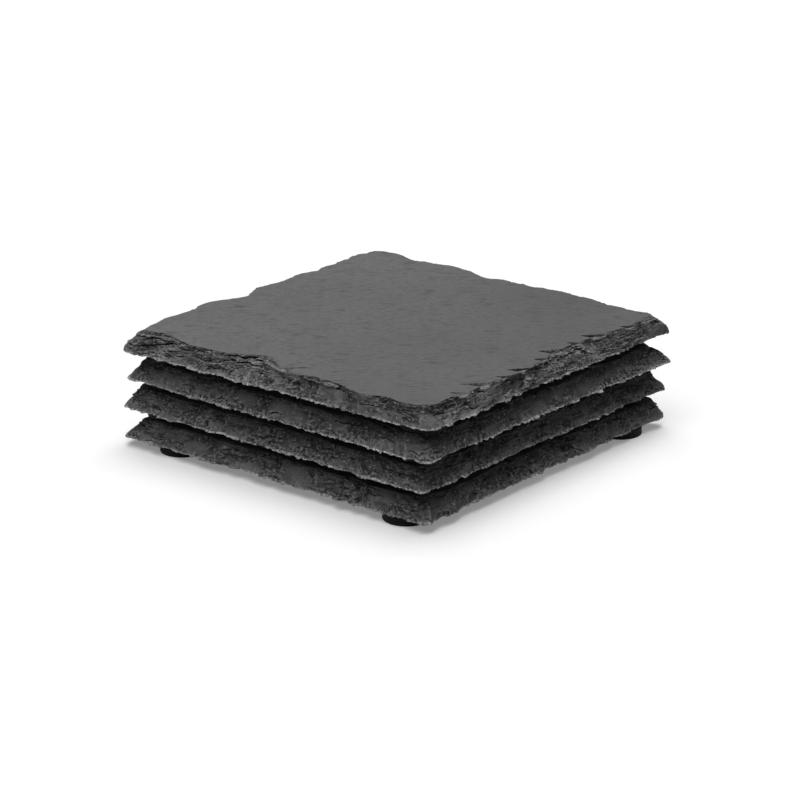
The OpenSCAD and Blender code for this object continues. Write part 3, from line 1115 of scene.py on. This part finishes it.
def foot_mesh(name, node, sizes):
    """A rubber foot in the place of its solid."""
    low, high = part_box(node)
    middle = (low + high) / 2
    profile = foot_profile((high.x - low.x) / 2, high.z - low.z, sizes)
    count = sizes.segments
    points = []
    for radius, height in profile:
        for k in range(count):
            angle = 2 * math.pi * k / count
            x = middle.x + radius * math.cos(angle)
            y = middle.y + radius * math.sin(angle)
            points.append((x, y, low.z + height))
    faces = band_faces(len(profile), count)
    faces.append(tuple(range(count - 1, -1, -1)))
    last = (len(profile) - 1) * count
    faces.append(tuple(range(last, last + count)))
    mesh = bpy.data.meshes.new(name)
    mesh.from_pydata(points, [], faces)
    mesh.polygons.foreach_set("use_smooth", [True] * len(faces))
    mesh.update()
    return mesh


class COASTER_OT_feet(bpy.types.Operator):
    """Build the rubber feet and finish the adhesive films"""

    bl_idname = "coaster.feet"
    bl_label = "Feet"

    def execute(self, context):
        sizes = settings().foot
        rubber, film = rubber_material(sizes), film_material(sizes)
        for tier in TIERS:
            for number in FOOT_NUMBERS:
                node = f"{tier}_foot_{number}"
                mesh = foot_mesh(f"{tier}_rubber_foot_{number}", node, sizes)
                mesh.materials.append(rubber)
                add_piece(f"{tier}_rubber_foot_{number}", mesh, f"{tier}_coaster", node)
                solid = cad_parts[f"{tier}_film_{number}"]
                solid.data.materials.clear()
                solid.data.materials.append(film)
        return {"FINISHED"}


def add_lamp(name, place, size, power):
    """A soft square lamp that points at the stack."""
    light = bpy.data.lights.new(name, "AREA")
    light.shape = "SQUARE"
    light.size = size
    light.energy = power
    lamp = bpy.data.objects.new(name, light)
    lamp.location = place
    lamp.rotation_mode = "QUATERNION"
    lamp.rotation_quaternion = (Vector(LAMP_AIM) - Vector(place)).to_track_quat("-Z", "Y")
    bpy.context.scene.collection.objects.link(lamp)
    return lamp


class COASTER_OT_stage(bpy.types.Operator):
    """Lay the floor, light it and set the camera"""

    bl_idname = "coaster.stage"
    bl_label = "Stage"

    def execute(self, context):
        stage = settings().stage
        scene = context.scene
        half = FLOOR_HALF
        mesh = bpy.data.meshes.new("floor")
        corners = [(-half, -half, 0), (half, -half, 0), (half, half, 0), (-half, half, 0)]
        mesh.from_pydata(corners, [], [(0, 1, 2, 3)])
        mesh.materials.append(floor_material(stage.floor_glow))
        floor = bpy.data.objects.new("floor", mesh)
        scene.collection.objects.link(floor)

        world = bpy.data.worlds.new("soft_sky")
        world.use_nodes = True
        tree = world.node_tree
        background = tree.nodes["Background"]
        path = add_node(tree, "ShaderNodeLightPath")
        strength = ramp(tree, path.outputs["Is Camera Ray"], 0, 1, stage.sky_strength, 1.0)
        tree.links.new(strength, background.inputs["Strength"])
        background.inputs["Color"].default_value = WHITE
        scene.world = world
        add_lamp("overhead", *OVERHEAD_LAMP, stage.overhead_power)
        add_lamp("front", *FRONT_LAMP, stage.front_power)

        camera = bpy.data.cameras.new("camera")
        camera.sensor_width = SENSOR_WIDTH
        camera.lens = stage.lens
        camera.clip_start, camera.clip_end = CAMERA_CLIP
        holder = bpy.data.objects.new("camera", camera)
        back = Vector(
            (
                math.sin(stage.azimuth) * math.cos(stage.elevation),
                -math.cos(stage.azimuth) * math.cos(stage.elevation),
                math.sin(stage.elevation),
            )
        )
        holder.location = Vector(stage.aim) + back * stage.distance
        holder.rotation_mode = "QUATERNION"
        holder.rotation_quaternion = (-back).to_track_quat("-Z", "Y")
        scene.collection.objects.link(holder)
        scene.camera = holder
        scene.view_settings.view_transform = "Standard"
        return {"FINISHED"}


class COASTER_PT_panel(bpy.types.Panel):
    """Buttons that build the stack"""

    bl_label = "Coaster Stack"
    bl_idname = "COASTER_PT_panel"
    bl_space_type = "VIEW_3D"
    bl_region_type = "UI"
    bl_category = "Coasters"

    def draw(self, context):
        for operator in OPERATORS:
            self.layout.operator(operator.bl_idname)


GROUPS = (SlateSettings, FootSettings, StageSettings, StackSettings)
OPERATORS = (COASTER_OT_stage, COASTER_OT_slates, COASTER_OT_feet)
CLASSES = GROUPS + OPERATORS + (COASTER_PT_panel,)


def register():
    """Registers the classes and the scene's settings."""
    for cls in CLASSES:
        bpy.utils.register_class(cls)
    bpy.types.Scene.coaster_stack = PointerProperty(type=StackSettings)


def unregister():
    """Removes what register added."""
    del bpy.types.Scene.coaster_stack
    for cls in reversed(CLASSES):
        bpy.utils.unregister_class(cls)


def main():
    register()
    bpy.ops.coaster.stage()
    bpy.ops.coaster.slates()
    bpy.ops.coaster.feet()


if __name__ == "__main__":
    main()
